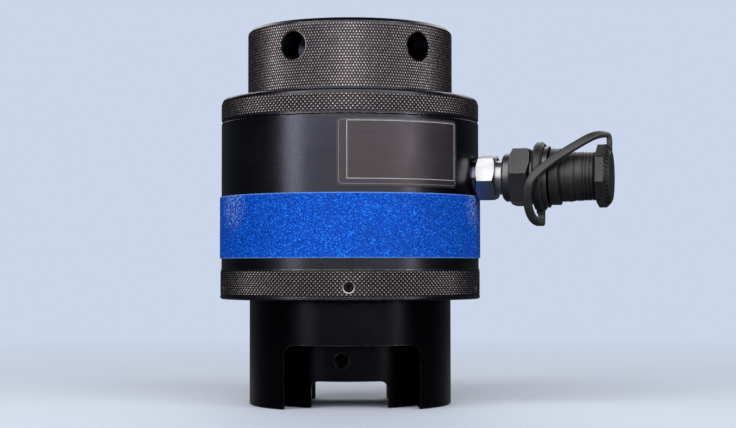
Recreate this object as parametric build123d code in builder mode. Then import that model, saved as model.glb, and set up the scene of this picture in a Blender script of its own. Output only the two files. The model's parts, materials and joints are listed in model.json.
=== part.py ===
from build123d import *
import os
from math import cos, radians, sin, sqrt, tan

# Topside hydraulic bolt tensioner, spring return, in millimetres.
# +Z is the tool axis, Z 0 is the flange face that the bridge stands on, and -Y is the front.
# Angles are about the tool axis, from the front towards +X.

os.makedirs("parts", exist_ok=True)

# Running clearances and seats
SLIDE_GAP = 0.05
SPIN_GAP = 0.3
SEAL_GAP = 0.03

# Heights of the stack
BRIDGE_HEIGHT = 50.0
SPIGOT_HEIGHT = 4.5
BODY_HEIGHT = 64.0
COVER_HEIGHT = 9.5
COVER_TO_HEAD = 0.5
HEAD_HEIGHT = 28.0

BODY_BASE = BRIDGE_HEIGHT
BODY_TOP = BODY_BASE + BODY_HEIGHT
COVER_TOP = BODY_TOP + COVER_HEIGHT
HEAD_BASE = COVER_TOP + COVER_TO_HEAD
HEAD_TOP = HEAD_BASE + HEAD_HEIGHT

# Cylinder and pressure chamber
BODY_R = 52.5
SPIGOT_R = 49.0
CHAMBER_BORE_R = 41.375
NECK_BORE_R = 27.5
CHAMBER_FLOOR = 84.0
CHAMBER_LIFT = 0.1
COVER_THREAD_R = 44.0
COVER_THREAD_DEPTH = 3.2
EDGE_CHAMFER = 0.6

# Bridge, its collar and the collar's screws
BRIDGE_R = 41.0
BRIDGE_FLANGE_R = 46.0
BRIDGE_FLANGE_HEIGHT = 4.0
WINDOW_WIDTH = 53.0
WINDOW_HEIGHT = 25.1
WINDOW_CORNER_R = 4.0
WINDOW_TURN = 2.0
COLLAR_R = 53.0
COLLAR_LIP_HEIGHT = 3.4
KNURL_DEPTH = 0.4
COLLAR_PLAIN_BASE = 1.4
COLLAR_PLAIN_TOP = 0.3
SCREW_COUNT = 5
SCREW_R = 2.0
SCREW_Z = 47.8
SCREW_RECESS = 0.8
SCREW_HEX_AF = 2.0
SCREW_HEX_DEPTH = 2.2

# Nut socket, for an M30 nut
SOCKET_R = 30.0
SOCKET_FLANGE_R = 32.5
SOCKET_LEDGE_Z = 27.0
SOCKET_FLANGE_HEIGHT = 3.7
SOCKET_HEX_AF = 46.5
SOCKET_FOOT_GAP = 0.3
SOCKET_BORE_GAP = 0.5
SOCKET_SLOT_WIDTH = 30.0
SOCKET_SLOT_HEIGHT = 10.65
SOCKET_SLOT_CORNER_R = 3.0
SOCKET_HOLE_R = 3.0
SOCKET_HOLE_Z = 18.8
SOCKET_HOLES = 6
SOCKET_FIRST_HOLE = -6.0
CIRCLIP_THICKNESS = 1.6
CIRCLIP_GROOVE_DEPTH = 1.4
CIRCLIP_WIDTH = 3.0
CIRCLIP_GAP_WIDTH = 16.0
CIRCLIP_EYE_R = 1.1
CIRCLIP_EYE_WALL = 1.2

# Piston and its seals
PISTON_FLANGE_HEIGHT = 16.2
PISTON_SKIRT_GAP = 2.375
PISTON_SKIRT_R = CHAMBER_BORE_R - PISTON_SKIRT_GAP
PISTON_SKIRT_HEIGHT = 8.7
SPRING_SPACE = 8.375
PISTON_UPPER_R = CHAMBER_BORE_R - SPRING_SPACE
PISTON_FOOT_Z = 56.0
PISTON_SEAL_GROOVE_Z = 94.0
SEAL_HEIGHT = 2.8
BACKUP_HEIGHT = 1.7
SEAL_DEPTH = 4.0
NECK_GROOVE_Z = 66.0
NECK_SEAL_DEPTH = 3.5
SEAL_LIP = 0.5

# Top cover and wiper
COVER_R = 52.6
COVER_EDGE_R = 1.6
COVER_INNER_R = 41.25
COVER_LIP_THICKNESS = 4.5
COVER_LIP_GAP = 0.75
COVER_LIP_R = PISTON_UPPER_R + COVER_LIP_GAP
WIPER_WIDTH = 3.2
WIPER_R = PISTON_UPPER_R + WIPER_WIDTH
WIPER_HEIGHT = 2.4
WIPER_SEAT = 0.9

# Return spring
SPRING_WIRE_WIDTH = 3.0
SPRING_WIRE_HEIGHT = 2.2
SPRING_FROM_BORE = 4.175
SPRING_MEAN_R = CHAMBER_BORE_R - SPRING_FROM_BORE
SPRING_TURNS = 3.0
SPRING_END_GAP = 0.15

# Puller, for an M30 stud, and its head
PULLER_R = 22.0
PULLER_FOOT_Z = 33.0
PULLER_TOP_SETBACK = 4.0
STUD_MINOR_R = 13.1
STUD_THREAD_LENGTH = 45.0
PULLER_BORE_R = 15.5
PULLER_CHAMFER = 2.0
HEAD_R = 41.8
HEAD_CHAMFER = 1.7
HEAD_RECESS_R = 27.0
HEAD_RECESS_DEPTH = 3.0
TOMMY_COUNT = 5
TOMMY_R = 5.5
TOMMY_DEPTH = 12.3
TOMMY_BELOW_TOP = 10.2
TOMMY_MOUTH = 0.5
TOMMY_FIRST_ANGLE = -31.5
DRILL_HALF_ANGLE = 59.0
KEY_R = 2.5
KEY_LENGTH = 10.0
KEY_HEX_AF = 2.5
KEY_HEX_DEPTH = 3.0
KEY_SETBACK = 0.4

# Grip tape and rating plate
TAPE_BASE = 58.9
TAPE_HEIGHT = 24.9
TAPE_THICKNESS = 0.7
PLATE_FROM = -5.1
PLATE_TO = 52.0
PLATE_BASE = 86.05
PLATE_HEIGHT = 26.25
PLATE_THICKNESS = 0.5
PLATE_CORNER_R = 2.0

# Oil port, adaptor and coupler, along the port's own axis from the tool axis
PORT_ANGLE = 75.0
PORT_Z = 91.1
SPOT_FACE_R = 7.2
SPOT_FACE_DEPTH = 0.6
SPOT_FACE_AT = BODY_R - SPOT_FACE_DEPTH
PORT_THREAD_R = 4.85
PORT_THREAD_DEPTH = 8.0
PORT_THREAD_END_GAP = 0.4
PORT_DRILL_R = 1.5
WASHER_THICKNESS = 1.7
WASHER_R = 7.0
ADAPTOR_HEX_AF = 16.8
ADAPTOR_HEX_LENGTH = 7.9
ADAPTOR_NECK_R = 6.8
ADAPTOR_NECK_LENGTH = 2.6
ADAPTOR_TAIL_R = 5.0
ADAPTOR_TAIL_LENGTH = 8.0
OIL_BORE_R = 2.0
ADAPTOR_HEX_TURN = 110.0
HEX_FACE_SHARE = 0.95
HEX_CHAMFER_ANGLE = 30.0
SHOULDER_R = 9.65
SHOULDER_LENGTH = 3.0
SHOULDER_CHAMFER = 0.9
COUPLER_HEX_AF = 21.6
COUPLER_HEX_LENGTH = 8.5
COUPLER_HEX_TURN = 125.0
NIPPLE_NECK_R = 9.0
NIPPLE_FLANGE_R = 12.2
NIPPLE_FLANGE_LENGTH = 1.5
NIPPLE_R = 8.0
NIPPLE_CHAMFER = 1.2
NOSE_LENGTH = 18.0
NOSE_GROOVE_FROM_FLANGE = 6.0
NOSE_GROOVE_WIDTH = 3.6
NOSE_GROOVE_DEPTH = 1.1
O_RING_FROM_FLANGE = 14.0
O_RING_MINOR_R = 0.8
VALVE_BORE_R = 4.5
VALVE_SEAT_R = 2.6
VALVE_LIP = 2.4
VALVE_CONE_LENGTH = 1.5
RETAINER_THICKNESS = 2.0
RETAINER_HOLE_R = 0.9
POPPET_STEM_R = 1.6
POPPET_HEAD_R = 4.0
POPPET_HEAD_LENGTH = 2.0
POPPET_GUIDE_R = 1.4
POPPET_SEAT_GAP = 0.15
POPPET_PIN_SETBACK = 0.4
POPPET_SPRING_R = 3.1
POPPET_WIRE_WIDTH = 0.9
POPPET_WIRE_HEIGHT = 0.7
POPPET_SPRING_TURNS = 4.0

# Rubber ring, cap and strap
RING_FROM_HEX = 1.2
RING_WIDTH = 3.9
RING_SIDE_GAP = 0.2
RING_SEAT_R = 10.6
RING_OUTER_R = 13.9
RING_EDGE = 0.9
CAP_GAP = 0.3
CAP_LENGTH = 24.6
CAP_COLLAR_R = 11.2
CAP_COLLAR_LENGTH = 4.6
CAP_COLLAR_SLOPE = 0.6
CAP_WAIST_R = 9.8
CAP_WAIST_STEP_AT = 9.1
CAP_WAIST_STEP = 0.3
CAP_WAIST_END_R = 9.2
CAP_GROOVES = 5
CAP_FIRST_GROOVE_AT = 7.6
CAP_GROOVE_PITCH = 2.2
CAP_GROOVE_WIDTH = 0.9
CAP_GROOVE_DEPTH = 0.5
CAP_SIDES = 8
CAP_SIDE_ELEVATION = 32.5
CAP_FLANGE_R = 12.5
CAP_FLANGE_CORNER_R = 2.5
CAP_FLANGE_LENGTH = 6.7
CAP_FLANGE_SLOPE = 2.0
CAP_FLANGE_BEVEL = 2.7
CAP_DOME = 0.4
CAP_END_GAP = 0.3
STRAP_TUBE_R = 1.3
STRAP_PAD = 3.6
STRAP_FOOT = 14.6
STRAP_HEAD = 12.5
BEND_SHARE = 0.45

# The strap's points: along the port's axis, towards the front, and up from that axis
STRAP_ROUTE = [
    (79.0, 0.0, -STRAP_FOOT),
    (79.0, 0.0, -17.4),
    (79.2, 2.8, -19.0),
    (76.6, 7.4, -17.0),
    (75.4, 11.8, -12.4),
    (75.6, 14.8, -6.6),
    (77.2, 16.0, -1.6),
    (81.0, 14.6, 2.4),
    (87.6, 11.8, 7.6),
    (95.0, 7.4, 12.6),
    (100.4, 3.6, 16.0),
    (105.2, 0.9, 16.6),
    (106.0, 0.0, 15.2),
    (106.0, 0.0, STRAP_HEAD),
]


def outward(angle, distance=0.0, height=0.0):
    """Plane square to a direction from the tool axis, with its X level and its Y up."""
    polar = radians(angle - 90.0)
    direction = Vector(cos(polar), sin(polar), 0)
    level = Vector(-sin(polar), cos(polar), 0)
    return Plane(origin=direction * distance + Vector(0, 0, height), x_dir=level, z_dir=direction)


def around(count, first):
    """Angles of a ring of equal places."""
    return [first + place * 360.0 / count for place in range(count)]


def save(part, label):
    part.label = label
    export_step(part, f"parts/{label}.step")


# Sizes that follow from the driving ones
socket_bore_r = SOCKET_R + SOCKET_BORE_GAP
ledge_bore_r = SOCKET_FLANGE_R + SOCKET_BORE_GAP
flange_base = BRIDGE_HEIGHT - BRIDGE_FLANGE_HEIGHT
socket_flange_base = SOCKET_LEDGE_Z + SLIDE_GAP
socket_top = socket_flange_base + SOCKET_FLANGE_HEIGHT
circlip_base = socket_top + SPIN_GAP
circlip_groove_r = ledge_bore_r + CIRCLIP_GROOVE_DEPTH
circlip_outer_r = circlip_groove_r - SEAL_GAP
circlip_inner_r = circlip_outer_r - CIRCLIP_WIDTH
collar_top = BODY_BASE + SPIGOT_HEIGHT
collar_base = flange_base - COLLAR_LIP_HEIGHT
knurl_base = collar_base + COLLAR_PLAIN_BASE
knurl_top = collar_top - COLLAR_PLAIN_TOP
screw_outer_r = COLLAR_R - SCREW_RECESS
screw_length = screw_outer_r - BRIDGE_FLANGE_R
port_direction = outward(PORT_ANGLE).z_dir

# Bridge: a sleeve with a top flange, a stepped bore for the nut socket, and two windows
with BuildPart() as bridge:
    with BuildSketch(Plane.XZ):
        with BuildLine():
            Polyline(
                (socket_bore_r, 0),
                (BRIDGE_R, 0),
                (BRIDGE_R, flange_base),
                (BRIDGE_FLANGE_R, flange_base),
                (BRIDGE_FLANGE_R, BRIDGE_HEIGHT),
                (ledge_bore_r, BRIDGE_HEIGHT),
                (ledge_bore_r, SOCKET_LEDGE_Z),
                (socket_bore_r, SOCKET_LEDGE_Z),
                close=True,
            )
        make_face()
    revolve(axis=Axis.Z)
    chamfer(bridge.edges().group_by(Axis.Z)[0], EDGE_CHAMFER)
    with BuildSketch(Plane.XY.offset(circlip_base)):
        Circle(circlip_groove_r)
    extrude(amount=CIRCLIP_THICKNESS, mode=Mode.SUBTRACT)
    with BuildSketch(outward(WINDOW_TURN)):
        Rectangle(WINDOW_WIDTH, 2 * WINDOW_HEIGHT)
        fillet(vertices(), WINDOW_CORNER_R)
    extrude(amount=BRIDGE_R + 1, both=True, mode=Mode.SUBTRACT)
save(bridge.part, "bridge")

# Nut socket: hexagon through, flange on the bridge's ledge, tommy holes and a slot across its foot
with BuildPart() as nut_socket:
    with BuildSketch(Plane.XY.offset(SOCKET_FOOT_GAP)):
        Circle(SOCKET_R)
    extrude(amount=socket_top - SOCKET_FOOT_GAP)
    with BuildSketch(Plane.XY.offset(socket_flange_base)):
        Circle(SOCKET_FLANGE_R)
    extrude(amount=SOCKET_FLANGE_HEIGHT)
    chamfer(nut_socket.faces().sort_by(Axis.Z)[-1].edges(), EDGE_CHAMFER)
    chamfer(nut_socket.faces().sort_by(Axis.Z)[0].edges(), EDGE_CHAMFER)
    with BuildSketch(Plane.XY):
        RegularPolygon(SOCKET_HEX_AF / 2, 6, major_radius=False)
    extrude(amount=socket_top + 1, mode=Mode.SUBTRACT)
    with BuildSketch(outward(0)):
        Rectangle(SOCKET_SLOT_WIDTH, 2 * SOCKET_SLOT_HEIGHT)
        fillet(vertices(), SOCKET_SLOT_CORNER_R)
    extrude(amount=SOCKET_R + 1, both=True, mode=Mode.SUBTRACT)
    for angle in around(SOCKET_HOLES, SOCKET_FIRST_HOLE)[: SOCKET_HOLES // 2]:
        with BuildSketch(outward(angle, 0, SOCKET_HOLE_Z)):
            Circle(SOCKET_HOLE_R)
        extrude(amount=SOCKET_R + 1, both=True, mode=Mode.SUBTRACT)
save(nut_socket.part, "nut_socket")

# Internal circlip in the bridge, with a gap and two eyes for the pliers
eye_outer_r = CIRCLIP_EYE_R + CIRCLIP_EYE_WALL
eye_places = [
    (circlip_inner_r - CIRCLIP_EYE_R, side * (CIRCLIP_GAP_WIDTH / 2 + eye_outer_r)) for side in (-1, 1)
]
with BuildPart() as socket_circlip:
    with BuildSketch(Plane.XY.offset(circlip_base)):
        Circle(circlip_outer_r)
        Circle(circlip_inner_r, mode=Mode.SUBTRACT)
        with Locations((circlip_outer_r, 0)):
            Rectangle(4 * CIRCLIP_WIDTH, CIRCLIP_GAP_WIDTH, mode=Mode.SUBTRACT)
        with Locations(*eye_places):
            Circle(eye_outer_r)
        with Locations(*eye_places):
            Circle(CIRCLIP_EYE_R, mode=Mode.SUBTRACT)
    extrude(amount=CIRCLIP_THICKNESS)
save(socket_circlip.part, "socket_circlip")

# Grub screw, turned from the collar's outside to the bridge's flange, with a hexagon socket
with BuildPart() as grub_screw:
    with BuildSketch(outward(0, BRIDGE_FLANGE_R, SCREW_Z)):
        Circle(SCREW_R)
    extrude(amount=screw_length)
    with BuildSketch(outward(0, screw_outer_r, SCREW_Z)):
        RegularPolygon(SCREW_HEX_AF / 2, 6, major_radius=False)
    extrude(amount=-SCREW_HEX_DEPTH, mode=Mode.SUBTRACT)

with BuildPart() as collar_grub_screws:
    with PolarLocations(0, SCREW_COUNT):
        add(grub_screw.part)
save(collar_grub_screws.part, "collar_grub_screws")

# Collar: grips the cylinder's spigot and holds the bridge's flange against the cylinder
with BuildPart() as bridge_collar:
    with BuildSketch(Plane.XZ):
        with BuildLine():
            Polyline(
                (BRIDGE_R + SPIN_GAP, collar_base),
                (COLLAR_R - EDGE_CHAMFER, collar_base),
                (COLLAR_R, collar_base + EDGE_CHAMFER),
                (COLLAR_R, knurl_base),
                (COLLAR_R - KNURL_DEPTH, knurl_base),
                (COLLAR_R - KNURL_DEPTH, knurl_top),
                (COLLAR_R, knurl_top),
                (COLLAR_R, collar_top),
                (SPIGOT_R, collar_top),
                (SPIGOT_R, BODY_BASE),
                (BRIDGE_FLANGE_R, BODY_BASE),
                (BRIDGE_FLANGE_R, flange_base),
                (BRIDGE_R + SPIN_GAP, flange_base),
                close=True,
            )
        make_face()
    revolve(axis=Axis.Z)
    for angle in around(SCREW_COUNT, 0):
        with BuildSketch(outward(angle, BRIDGE_R, SCREW_Z)):
            Circle(SCREW_R)
        extrude(amount=COLLAR_R - BRIDGE_R + 1, mode=Mode.SUBTRACT)
save(bridge_collar.part, "bridge_collar")

# Cylinder: stepped bore whose step is the floor of the pressure chamber, with the oil port in its side
chamber_top = BODY_TOP - COVER_THREAD_DEPTH
neck_seal_top = NECK_GROOVE_Z + SEAL_HEIGHT + BACKUP_HEIGHT
neck_groove_r = NECK_BORE_R + NECK_SEAL_DEPTH
with BuildPart() as cylinder_body:
    with BuildSketch(Plane.XZ):
        with BuildLine():
            Polyline(
                (NECK_BORE_R, BODY_BASE),
                (SPIGOT_R, BODY_BASE),
                (SPIGOT_R, collar_top),
                (BODY_R, collar_top),
                (BODY_R, BODY_TOP - EDGE_CHAMFER),
                (BODY_R - EDGE_CHAMFER, BODY_TOP),
                (COVER_THREAD_R, BODY_TOP),
                (COVER_THREAD_R, chamber_top),
                (CHAMBER_BORE_R, chamber_top),
                (CHAMBER_BORE_R, CHAMBER_FLOOR),
                (NECK_BORE_R, CHAMBER_FLOOR),
                (NECK_BORE_R, neck_seal_top),
                (neck_groove_r, neck_seal_top),
                (neck_groove_r, NECK_GROOVE_Z),
                (NECK_BORE_R, NECK_GROOVE_Z),
                close=True,
            )
        make_face()
    revolve(axis=Axis.Z)
    with BuildSketch(outward(PORT_ANGLE, SPOT_FACE_AT, PORT_Z)):
        Circle(SPOT_FACE_R)
    extrude(amount=BODY_R, mode=Mode.SUBTRACT)
    with BuildSketch(outward(PORT_ANGLE, SPOT_FACE_AT, PORT_Z)):
        Circle(PORT_THREAD_R)
    extrude(amount=-PORT_THREAD_DEPTH, mode=Mode.SUBTRACT)
    with BuildSketch(outward(PORT_ANGLE, SPOT_FACE_AT, PORT_Z)):
        Circle(PORT_DRILL_R)
    extrude(amount=PISTON_UPPER_R - SPOT_FACE_AT, mode=Mode.SUBTRACT)
save(cylinder_body.part, "cylinder_body")

# Seal and back-up ring in the cylinder's groove, round the piston's neck
neck_r = NECK_BORE_R - SLIDE_GAP
neck_seal_r = neck_r + SEAL_GAP
with BuildPart() as neck_seal:
    with BuildSketch(Plane.XY.offset(NECK_GROOVE_Z + BACKUP_HEIGHT)):
        Circle(neck_groove_r)
        Circle(neck_seal_r, mode=Mode.SUBTRACT)
    extrude(amount=SEAL_HEIGHT)
    upper_lips = neck_seal.edges().group_by(Axis.Z)[-1]
    chamfer(upper_lips, SEAL_LIP)
save(neck_seal.part, "neck_seal")

with BuildPart() as neck_backup_ring:
    with BuildSketch(Plane.XY.offset(NECK_GROOVE_Z)):
        Circle(neck_groove_r)
        Circle(neck_seal_r, mode=Mode.SUBTRACT)
    extrude(amount=BACKUP_HEIGHT)
save(neck_backup_ring.part, "neck_backup_ring")

# Piston: neck, skirt cut back to let the oil in, flange with the seal groove, and upper neck
piston_base = CHAMBER_FLOOR + CHAMBER_LIFT
piston_flange_top = piston_base + PISTON_FLANGE_HEIGHT
piston_r = CHAMBER_BORE_R - SLIDE_GAP
piston_bore_r = PULLER_R + SPIN_GAP
piston_groove_r = piston_r - SEAL_DEPTH
piston_groove_top = PISTON_SEAL_GROOVE_Z + SEAL_HEIGHT + BACKUP_HEIGHT
piston_top = HEAD_BASE - SLIDE_GAP
skirt_top = piston_base + PISTON_SKIRT_HEIGHT
with BuildPart() as piston:
    with BuildSketch(Plane.XZ):
        with BuildLine():
            Polyline(
                (piston_bore_r, PISTON_FOOT_Z),
                (neck_r - EDGE_CHAMFER, PISTON_FOOT_Z),
                (neck_r, PISTON_FOOT_Z + EDGE_CHAMFER),
                (neck_r, piston_base),
                (PISTON_SKIRT_R, piston_base),
                (PISTON_SKIRT_R, skirt_top),
                (piston_r, skirt_top),
                (piston_r, PISTON_SEAL_GROOVE_Z),
                (piston_groove_r, PISTON_SEAL_GROOVE_Z),
                (piston_groove_r, piston_groove_top),
                (piston_r, piston_groove_top),
                (piston_r, piston_flange_top),
                (PISTON_UPPER_R, piston_flange_top),
                (PISTON_UPPER_R, piston_top - EDGE_CHAMFER),
                (PISTON_UPPER_R - EDGE_CHAMFER, piston_top),
                (piston_bore_r, piston_top),
                close=True,
            )
        make_face()
    revolve(axis=Axis.Z)
save(piston.part, "piston")

# Seal and back-up ring in the piston's groove
piston_seal_r = CHAMBER_BORE_R - SEAL_GAP
with BuildPart() as piston_seal:
    with BuildSketch(Plane.XY.offset(PISTON_SEAL_GROOVE_Z)):
        Circle(piston_seal_r)
        Circle(piston_groove_r, mode=Mode.SUBTRACT)
    extrude(amount=SEAL_HEIGHT)
    lower_lips = piston_seal.edges().group_by(Axis.Z)[0]
    chamfer(lower_lips, SEAL_LIP)
save(piston_seal.part, "piston_seal")

with BuildPart() as piston_backup_ring:
    with BuildSketch(Plane.XY.offset(PISTON_SEAL_GROOVE_Z + SEAL_HEIGHT)):
        Circle(piston_seal_r)
        Circle(piston_groove_r, mode=Mode.SUBTRACT)
    extrude(amount=BACKUP_HEIGHT)
save(piston_backup_ring.part, "piston_backup_ring")

# Top cover: screwed into the cylinder, stops the piston and carries the return spring and the wiper
cover_ceiling = COVER_TOP - COVER_LIP_THICKNESS
cover_root_r = COVER_R - KNURL_DEPTH
wiper_base = COVER_TOP - WIPER_SEAT - WIPER_HEIGHT
with BuildPart() as top_cover:
    with BuildSketch(Plane.XZ):
        with BuildLine():
            Polyline(
                (COVER_INNER_R, chamber_top),
                (COVER_THREAD_R, chamber_top),
                (COVER_THREAD_R, BODY_TOP),
                (cover_root_r, BODY_TOP),
                (cover_root_r, COVER_TOP - COVER_EDGE_R),
            )
            RadiusArc(
                (cover_root_r, COVER_TOP - COVER_EDGE_R),
                (cover_root_r - COVER_EDGE_R, COVER_TOP),
                -COVER_EDGE_R,
            )
            Polyline(
                (cover_root_r - COVER_EDGE_R, COVER_TOP),
                (COVER_LIP_R, COVER_TOP),
                (COVER_LIP_R, wiper_base + WIPER_HEIGHT),
                (WIPER_R, wiper_base + WIPER_HEIGHT),
                (WIPER_R, wiper_base),
                (COVER_LIP_R, wiper_base),
                (COVER_LIP_R, cover_ceiling),
                (COVER_INNER_R, cover_ceiling),
                (COVER_INNER_R, chamber_top),
            )
        make_face()
    revolve(axis=Axis.Z)
save(top_cover.part, "top_cover")

with BuildPart() as wiper_ring:
    with BuildSketch(Plane.XY.offset(wiper_base)):
        Circle(WIPER_R)
        Circle(PISTON_UPPER_R + SLIDE_GAP, mode=Mode.SUBTRACT)
    extrude(amount=WIPER_HEIGHT)
    inner_lip = wiper_ring.edges().group_by(Axis.Z)[-1].sort_by(SortBy.RADIUS)[0]
    chamfer(inner_lip, SEAL_LIP)
save(wiper_ring.part, "wiper_ring")

# Return spring of flat wire between the piston's flange and the cover
spring_base = piston_flange_top + SPRING_END_GAP + SPRING_WIRE_HEIGHT / 2
spring_height = cover_ceiling - SPRING_END_GAP - SPRING_WIRE_HEIGHT / 2 - spring_base
with BuildPart() as return_spring:
    with BuildLine():
        coil = Helix(spring_height / SPRING_TURNS, spring_height, SPRING_MEAN_R, center=(0, 0, spring_base))
    with BuildSketch(Plane(origin=coil @ 0, x_dir=(1, 0, 0), z_dir=coil % 0)):
        Rectangle(SPRING_WIRE_WIDTH, SPRING_WIRE_HEIGHT)
    sweep(path=coil, is_frenet=True)
save(return_spring.part, "return_spring")

# Puller: bar with the stud's thread in its foot and a wide bore above, keyed into the head
puller_top = HEAD_TOP - PULLER_TOP_SETBACK
thread_top = PULLER_FOOT_Z + STUD_THREAD_LENGTH
key_base = puller_top - KEY_SETBACK - KEY_LENGTH
key_places = [(side * PULLER_R, 0) for side in (-1, 1)]
with BuildPart() as puller:
    with BuildSketch(Plane.XZ):
        with BuildLine():
            Polyline(
                (STUD_MINOR_R + PULLER_CHAMFER, PULLER_FOOT_Z),
                (PULLER_R - PULLER_CHAMFER, PULLER_FOOT_Z),
                (PULLER_R, PULLER_FOOT_Z + PULLER_CHAMFER),
                (PULLER_R, puller_top),
                (PULLER_BORE_R + EDGE_CHAMFER, puller_top),
                (PULLER_BORE_R, puller_top - EDGE_CHAMFER),
                (PULLER_BORE_R, thread_top + PULLER_BORE_R - STUD_MINOR_R),
                (STUD_MINOR_R, thread_top),
                (STUD_MINOR_R, PULLER_FOOT_Z + PULLER_CHAMFER),
                close=True,
            )
        make_face()
    revolve(axis=Axis.Z)
    with BuildSketch(Plane.XY.offset(key_base)):
        with Locations(*key_places):
            Circle(KEY_R)
    extrude(amount=puller_top - key_base, mode=Mode.SUBTRACT)
save(puller.part, "puller")

# Two grub screws, half in the puller and half in the head, lock their thread
with BuildPart() as puller_keys:
    with BuildSketch(Plane.XY.offset(key_base)):
        with Locations(*key_places):
            Circle(KEY_R)
    extrude(amount=KEY_LENGTH)
    with BuildSketch(Plane.XY.offset(key_base + KEY_LENGTH)):
        with Locations(*key_places):
            RegularPolygon(KEY_HEX_AF / 2, 6, major_radius=False)
    extrude(amount=-KEY_HEX_DEPTH, mode=Mode.SUBTRACT)
save(puller_keys.part, "puller_keys")

# Head: knurled, bevelled at its top edge, with blind tommy bar holes left by a pointed drill
head_root_r = HEAD_R - KNURL_DEPTH
head_floor = HEAD_TOP - HEAD_RECESS_DEPTH
tommy_bottom_r = HEAD_R - TOMMY_DEPTH
tommy_point_r = tommy_bottom_r - TOMMY_R / tan(radians(DRILL_HALF_ANGLE))
with BuildPart() as tommy_drill:
    with BuildSketch(Plane.XZ):
        with BuildLine():
            Polyline(
                (tommy_point_r, 0),
                (tommy_bottom_r, TOMMY_R),
                (HEAD_R - TOMMY_MOUTH, TOMMY_R),
                (HEAD_R + TOMMY_MOUTH, TOMMY_R + 2 * TOMMY_MOUTH),
                (HEAD_R + TOMMY_MOUTH, 0),
                close=True,
            )
        make_face()
    revolve(axis=Axis.X)

with BuildPart() as puller_head:
    with BuildSketch(Plane.XZ):
        with BuildLine():
            Polyline(
                (PULLER_R, HEAD_BASE),
                (head_root_r - EDGE_CHAMFER, HEAD_BASE),
                (head_root_r, HEAD_BASE + EDGE_CHAMFER),
                (head_root_r, HEAD_TOP - HEAD_CHAMFER + KNURL_DEPTH),
                (HEAD_R - HEAD_CHAMFER, HEAD_TOP),
                (HEAD_RECESS_R + EDGE_CHAMFER, HEAD_TOP),
                (HEAD_RECESS_R, HEAD_TOP - EDGE_CHAMFER),
                (HEAD_RECESS_R, head_floor),
                (PULLER_R, head_floor),
                close=True,
            )
        make_face()
    revolve(axis=Axis.Z)
    with BuildSketch(Plane.XY.offset(key_base)):
        with Locations(*key_places):
            Circle(KEY_R)
    extrude(amount=head_floor - key_base, mode=Mode.SUBTRACT)
    with Locations((0, 0, HEAD_TOP - TOMMY_BELOW_TOP)):
        with PolarLocations(0, TOMMY_COUNT, start_angle=TOMMY_FIRST_ANGLE - 90.0):
            add(tommy_drill.part, mode=Mode.SUBTRACT)
save(puller_head.part, "puller_head")

# Anti-slip tape wrapped round the cylinder
with BuildPart() as grip_tape:
    with BuildSketch(Plane.XY.offset(TAPE_BASE)):
        Circle(BODY_R + TAPE_THICKNESS)
        Circle(BODY_R, mode=Mode.SUBTRACT)
    extrude(amount=TAPE_HEIGHT)
save(grip_tape.part, "grip_tape")

# Rating plate, bent to the cylinder, with rounded corners
plate_sweep = PLATE_TO - PLATE_FROM
plate_outer_r = BODY_R + PLATE_THICKNESS
with BuildPart() as rating_plate:
    with BuildSketch(Plane.XY.offset(PLATE_BASE)):
        with BuildLine():
            inner = CenterArc((0, 0), BODY_R, PLATE_FROM - 90.0, plate_sweep)
            outer = CenterArc((0, 0), plate_outer_r, PLATE_FROM - 90.0, plate_sweep)
            Line(inner @ 0, outer @ 0)
            Line(inner @ 1, outer @ 1)
        make_face()
    extrude(amount=PLATE_HEIGHT)
    fillet(rating_plate.edges().sort_by(SortBy.LENGTH)[:4], PLATE_CORNER_R)
save(rating_plate.part, "rating_plate")

# Oil port side: everything is turned about the port's axis, and u runs outward from the tool axis
port_axis = Axis((0, 0, PORT_Z), port_direction)
port_section = Plane(origin=(0, 0, PORT_Z), x_dir=port_direction, z_dir=port_direction.cross(Vector(0, 0, 1)))


def turned_about_port(points):
    """Solid of a closed outline of (u, radius) points turned about the port's axis."""
    with BuildPart() as piece:
        with BuildSketch(port_section):
            with BuildLine():
                Polyline(*points, close=True)
            make_face()
        revolve(axis=port_axis)
    return piece.part


def spanner_hexagon(across_flats, start, length, vertex_elevation):
    """Hexagon with its corners chamfered at both ends, one vertex at the elevation given."""
    corner_r = across_flats / sqrt(3)
    face_r = HEX_FACE_SHARE * across_flats / 2
    slope = (corner_r - face_r) * tan(radians(HEX_CHAMFER_ANGLE))
    with BuildPart() as piece:
        with BuildSketch(outward(PORT_ANGLE, start, PORT_Z)):
            RegularPolygon(across_flats / 2, 6, major_radius=False, rotation=180 - vertex_elevation)
        extrude(amount=length)
        with BuildSketch(port_section):
            with BuildLine():
                Polyline(
                    (start, 0),
                    (start, face_r),
                    (start + slope, corner_r),
                    (start + length - slope, corner_r),
                    (start + length, face_r),
                    (start + length, 0),
                    close=True,
                )
            make_face()
        revolve(axis=port_axis, mode=Mode.INTERSECT)
    return piece.part


# Sealing washer under the adaptor
adaptor_at = SPOT_FACE_AT + WASHER_THICKNESS
washer_points = [
    (SPOT_FACE_AT, PORT_THREAD_R),
    (SPOT_FACE_AT, WASHER_R),
    (adaptor_at, WASHER_R),
    (adaptor_at, PORT_THREAD_R),
]
save(turned_about_port(washer_points), "port_seal_washer")

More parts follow.
